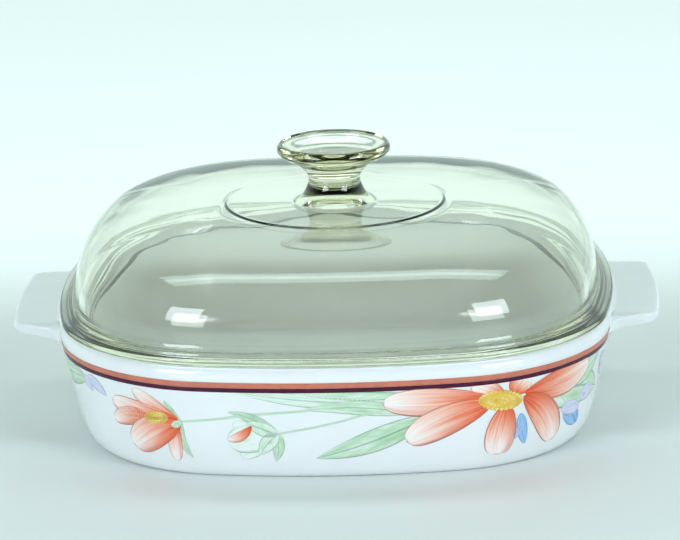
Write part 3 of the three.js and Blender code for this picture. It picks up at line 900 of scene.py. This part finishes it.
def add_bloom_paint():
    """The bud's off-white, and lilac and blue washes, by shade."""
    material, tree, shader, along, across, shade, side = brush("bloom_enamel")
    wash = fibres(tree, along, across, shade, 2.0, 6.0)
    body = ramp(tree, shade, [
        (0.05, (0.78, 0.84, 0.78)),
        (0.4, (0.66, 0.64, 0.80)),
        (0.6, (0.60, 0.62, 0.80)),
        (0.85, (0.30, 0.50, 0.76)),
    ])
    deep = ramp(tree, shade, [
        (0.05, (0.50, 0.68, 0.50)),
        (0.4, (0.46, 0.42, 0.64)),
        (0.85, (0.12, 0.28, 0.60)),
    ])
    rim = calc(tree, "MULTIPLY", step(tree, side, 0.75, 1.0), 0.7)
    tone = calc(tree, "MAXIMUM", rim, step(tree, wash, 0.5, 0.75))
    finish_brush(tree, shader, mixed(tree, tone, body, deep), wash)
    return material


def add_stamen_paint():
    """Yellow beads with ochre rims."""
    material, tree, shader, along, _, shade, side = brush("stamen_enamel")
    middle = calc(tree, "ABSOLUTE", calc(tree, "MULTIPLY_ADD", along, 2.0, -1.0))
    rim = step(tree, calc(tree, "MAXIMUM", middle, side), 0.55, 1.0)
    light = ramp(tree, shade, [(0.1, (0.78, 0.50, 0.08)), (0.9, (0.88, 0.70, 0.22))])
    finish_brush(tree, shader, mixed(tree, calc(tree, "MULTIPLY", rim, 0.6), light, (0.60, 0.30, 0.04)), rim)
    return material


# ---------------------------------------------------------------- stage
FLOOR_HALF = 6.0
WORLD_BRIGHT = (0.86, 1.08, 1.02)
WORLD_DIM = (0.10, 0.10, 0.085)
WORLD_TURN = (-0.5, 0.6)  # how far back a direction points where the dim front turns bright
WORLD_TOP = (0.5, 0.9)  # and how far up where it turns dim again
LIGHT_HEIGHT = 0.07
LIGHT_CENTRE = Vector((0, 0, LIGHT_HEIGHT))
COOL_WHITE = (0.80, 0.91, 1.0)
SKY_WHITE = (0.75, 0.97, 1)
FLOOR_WHITE = (0.80, 0.95, 1)
WINDOWS = {"left_window": (-38, 17), "right_window": (45, 17)}  # degrees round from the front, and up
WINDOW_DISTANCE = 1.3
WINDOW_SIZE = (0.51, 0.47)
WINDOW_POWER = 9.6
OVERHEAD_BOX = (180, 74)  # degrees round from the front, and up
OVERHEAD_DISTANCE = 1.2
OVERHEAD_SIZE = (1.4, 0.28)
OVERHEAD_POWER = 5.1
WASH_PLACE = Vector((0, 2.08, 0.2))
WASH_AIM = Vector((0, 2.08, 0))
WASH_SIZE = (5.0, 3.8)
WASH_POWER = 38
WASH_SPREAD = 80


def add_floor():
    """A plain pale floor."""
    material, tree, shader = surface("pale_floor")
    place = place_on(tree)
    colour = ramp(tree, noise(tree, place, 3, 2), [(0.3, (0.77, 0.80, 0.77)), (0.7, (0.79, 0.82, 0.79))])
    tree.links.new(colour, shader.inputs["Base Color"])
    shader.inputs["Roughness"].default_value = 0.55
    mesh = bpy.data.meshes.new("floor")
    corners = [(-FLOOR_HALF, -FLOOR_HALF, 0), (FLOOR_HALF, -FLOOR_HALF, 0), (FLOOR_HALF, FLOOR_HALF, 0),
               (-FLOOR_HALF, FLOOR_HALF, 0)]
    mesh.from_pydata(corners, [], [(0, 1, 2, 3)])
    mesh.materials.append(material)
    floor = bpy.data.objects.new("floor", mesh)
    bpy.context.scene.collection.objects.link(floor)


def add_world():
    """A soft surround: bright low down behind, dim in front and above."""
    world = bpy.data.worlds.new("studio")
    bpy.context.scene.world = world
    world.use_nodes = True
    tree = world.node_tree
    direction = put(tree, "ShaderNodeSeparateXYZ", {0: put(tree, "ShaderNodeTexCoord").outputs["Generated"]})
    behind = step(tree, direction.outputs["Y"], *WORLD_TURN)
    low = calc(tree, "SUBTRACT", 1.0, step(tree, direction.outputs["Z"], *WORLD_TOP))
    colour = mixed(tree, calc(tree, "MULTIPLY", behind, low), WORLD_DIM, WORLD_BRIGHT)
    tree.links.new(colour, tree.nodes["Background"].inputs["Color"])


def add_softbox(name, place, aim, size, power, colour, spread=180):
    """A rectangular light that the camera doesn't see; the spread is how wide it shines, in degrees."""
    light = bpy.data.lights.new(name, "AREA")
    light.spread = math.radians(spread)
    light.shape = "RECTANGLE"
    light.size, light.size_y = size
    light.energy = power
    light.color = colour
    lamp = bpy.data.objects.new(name, light)
    lamp.location = place
    lamp.rotation_euler = (aim - place).to_track_quat("-Z", "Y").to_euler()
    lamp.visible_camera = False
    bpy.context.scene.collection.objects.link(lamp)


def around(azimuth, elevation, distance):
    """A place round the object: azimuth 0 in front and 90 on the right, in degrees."""
    turn, rise = math.radians(azimuth), math.radians(elevation)
    flat = distance * math.cos(rise)
    return Vector((flat * math.sin(turn), -flat * math.cos(turn), LIGHT_HEIGHT + distance * math.sin(rise)))


def add_lights():
    """Two windows in front, a long box overhead, and a wash on the floor behind."""
    for name, direction in WINDOWS.items():
        place = around(*direction, WINDOW_DISTANCE)
        add_softbox(name, place, LIGHT_CENTRE, WINDOW_SIZE, WINDOW_POWER, COOL_WHITE)
    overhead = around(*OVERHEAD_BOX, OVERHEAD_DISTANCE)
    add_softbox("overhead_box", overhead, LIGHT_CENTRE, OVERHEAD_SIZE, OVERHEAD_POWER, SKY_WHITE)
    add_softbox("floor_wash", WASH_PLACE, WASH_AIM, WASH_SIZE, WASH_POWER, FLOOR_WHITE, WASH_SPREAD)


# ---------------------------------------------------------------- the whole scene
add_camera()
add_dish(add_glaze())
add_lid(add_glass())
coral = add_band_enamel("coral_enamel", (0.60, 0.20, 0.13), (0.54, 0.16, 0.10))
burgundy = add_band_enamel("burgundy_enamel", (0.085, 0.006, 0.034), (0.055, 0.004, 0.024))
paints = [
    ("painted_petals", petals(), add_petal_paint()),
    ("painted_leaves", leaves(), add_leaf_paint()),
    ("painted_blooms", bud_and_blooms(), add_bloom_paint()),
    ("painted_stems", stems(), bpy.data.materials["leaf_enamel"]),
    ("painted_stamens", stamens(), add_stamen_paint()),
]
for side in ("front", "back"):
    add_stripe(f"coral_band_{side}", f"coral_stripe_{side}", side, coral_low.z / MM, coral_high.z / MM, coral)
    add_stripe(f"burgundy_band_{side}", f"burgundy_stripe_{side}", side, burgundy_low.z / MM - BURGUNDY_DROP,
               burgundy_high.z / MM, burgundy)
    for name, shapes, paint in paints:
        add_painting(name, shapes, side, paint)
add_floor()
add_world()
add_lights()
bpy.context.scene.view_settings.view_transform = "Standard"
